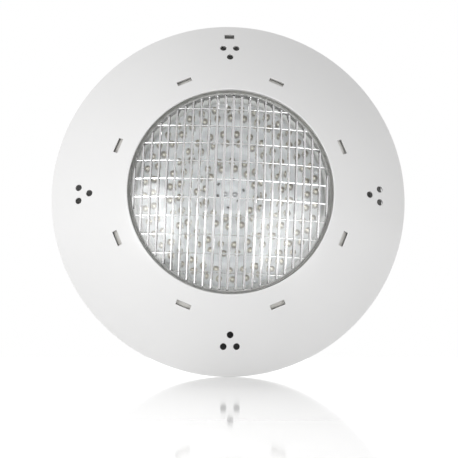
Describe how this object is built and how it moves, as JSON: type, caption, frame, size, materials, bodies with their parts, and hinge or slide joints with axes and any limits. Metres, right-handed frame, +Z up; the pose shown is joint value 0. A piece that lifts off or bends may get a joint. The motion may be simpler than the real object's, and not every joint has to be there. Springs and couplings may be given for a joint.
{
  "type": "underwater pool light",
  "caption": "Round underwater pool light: ribbed clear lamp with rings of LEDs in a sealed housing, behind a domed white face ring, hung on a wall ring with a release latch.",
  "frame": {"origin": "centre of the wall ring's back, on the pool wall's face", "axes": "+X right as seen from the front, +Y into the wall, +Z up; the front faces -Y"},
  "size_m": [0.29, 0.1335, 0.29],
  "materials": {
    "face_plastic": "smooth white moulded plastic, semi-gloss",
    "body_plastic": "off-white moulded plastic, fine matt texture",
    "housing_plastic": "grey moulded plastic, fine matt texture",
    "lamp_shell": "white moulded plastic",
    "gland_plastic": "dark grey polyamide",
    "gland_rubber": "black rubber",
    "silicone": "milky silicone rubber",
    "lens_clear": "clear polycarbonate, ribbed on the inside",
    "led_clear": "water-clear epoxy",
    "board_white": "cool white solder mask",
    "driver_green": "green solder mask",
    "black_plastic": "black moulded parts",
    "steel": "stainless steel",
    "aluminium": "bare aluminium",
    "brass": "brass",
    "copper": "enamelled copper winding",
    "lead_black": "black lead insulation",
    "lead_red": "red lead insulation"
  },
  "bodies": {
    "wall_side": {"wall_ring": "housing_plastic", "hook_pin": "steel", "wall_screw_1": "steel", "wall_screw_2": "steel", "wall_screw_3": "steel", "wall_screw_4": "steel"},
    "front_unit": {"lamp_housing": "housing_plastic", "lamp_gasket": "silicone", "clamp_ring": "body_plastic", "clamp_screw_1": "steel", "clamp_screw_2": "steel", "clamp_screw_3": "steel", "clamp_screw_4": "steel", "clamp_screw_5": "steel", "clamp_screw_6": "steel", "clamp_screw_7": "steel", "clamp_screw_8": "steel", "gland_body": "gland_plastic", "gland_locknut": "gland_plastic", "gland_seal": "gland_rubber", "gland_nut": "gland_plastic", "latch_cover": "housing_plastic", "latch_cover_screw_1": "steel", "latch_cover_screw_2": "steel", "latch_spring": "steel"},
    "latch": {"release_latch": "body_plastic"},
    "face": {"face_ring": "face_plastic"},
    "lamp": {"lens": "lens_clear", "lens_seal": "silicone", "lamp_bowl": "lamp_shell", "led_board": "board_white", "led_array": "led_clear", "heat_spreader": "aluminium", "board_screw_1": "steel", "board_screw_2": "steel", "board_screw_3": "steel", "board_screw_4": "steel", "driver_board": "driver_green", "driver_standoff_1": "brass", "driver_standoff_2": "brass", "driver_standoff_3": "brass", "rectifier": "black_plastic", "capacitor_1": "black_plastic", "capacitor_2": "black_plastic", "driver_coil": "copper", "board_lead_1": "lead_black", "terminal_lead_1": "lead_black", "board_lead_2": "lead_red", "terminal_lead_2": "lead_red", "terminal_post_1": "brass", "terminal_screw_1": "brass", "terminal_post_2": "brass", "terminal_screw_2": "brass"}
  },
  "joints": [
    {"name": "front_tilt", "type": "hinge", "parent": "wall_side", "child": "front_unit", "pos_m": [0, -0.006, -0.135], "axis": [1, 0, 0], "range_deg": [0, 22]},
    {"name": "latch_slide", "type": "slide", "parent": "front_unit", "child": "latch", "axis": [0, 0, 1], "range_m": [0, 0.0018], "stiffness_N_per_m": 300, "springref_m": 0.004, "deforming": ["latch_spring"]},
    {"name": "face_ring_pull", "type": "slide", "parent": "front_unit", "child": "face", "axis": [0, -1, 0], "range_m": [0, 0.06]},
    {"name": "lamp_turn", "type": "hinge", "parent": "front_unit", "child": "lamp", "pos_m": [0, 0, 0], "axis": [0, 1, 0], "range_deg": [-90, 90]}
  ]
}
